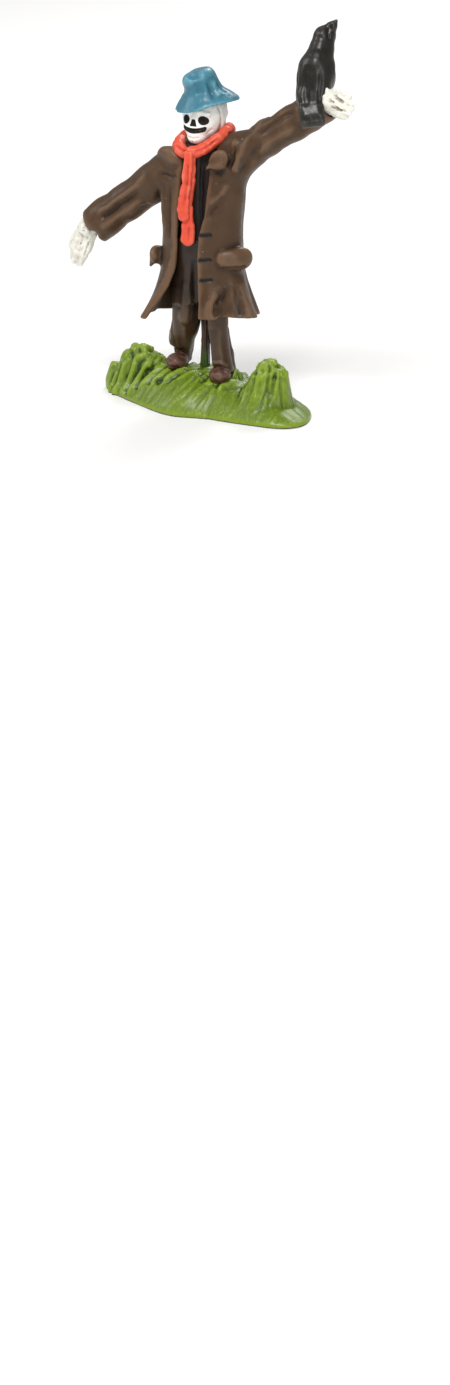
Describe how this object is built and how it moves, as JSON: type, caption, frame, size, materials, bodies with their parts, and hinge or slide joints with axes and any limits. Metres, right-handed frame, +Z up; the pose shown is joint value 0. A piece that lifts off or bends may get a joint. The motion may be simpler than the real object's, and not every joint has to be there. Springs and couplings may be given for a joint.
{
  "type": "scarecrow figure",
  "caption": "Small painted standing figure of a scarecrow in a long coat, one arm raised with a crow on its cuff, on an oval ground piece of rough grass.",
  "frame": {"origin": "where the pole's axis meets the flat underside of the ground piece", "axes": "+Z up; the figure faces -Y; +X is the side of its raised left arm"},
  "size_m": [0.0576, 0.02, 0.0698],
  "materials": {
    "grass": "satin green paint over the sculpted blades",
    "brown_plastic": "satin moulded plastic",
    "boot_brown": "satin paint",
    "trouser_brown": "satin paint",
    "shirt_black": "satin paint",
    "coat_brown": "glossy brown paint",
    "straw_cream": "off-white paint with brown showing through",
    "bone_white": "off-white paint with grey brush marks",
    "hat_teal": "satin paint",
    "scarf_orange": "satin paint",
    "crow_black": "glossy black paint"
  },
  "bodies": {
    "root": {"ground_base": "grass", "pole": "brown_plastic", "boot_left": "boot_brown", "boot_right": "boot_brown", "trousers": "trouser_brown", "torso": "shirt_black", "coat": "coat_brown", "sleeve_left": "coat_brown", "sleeve_right": "coat_brown", "hand_left": "straw_cream", "hand_right": "straw_cream", "head": "bone_white", "hat": "hat_teal", "scarf_loop": "scarf_orange", "scarf_tail_front": "scarf_orange", "scarf_tail_back": "scarf_orange", "crow": "crow_black"}
  },
  "joints": []
}
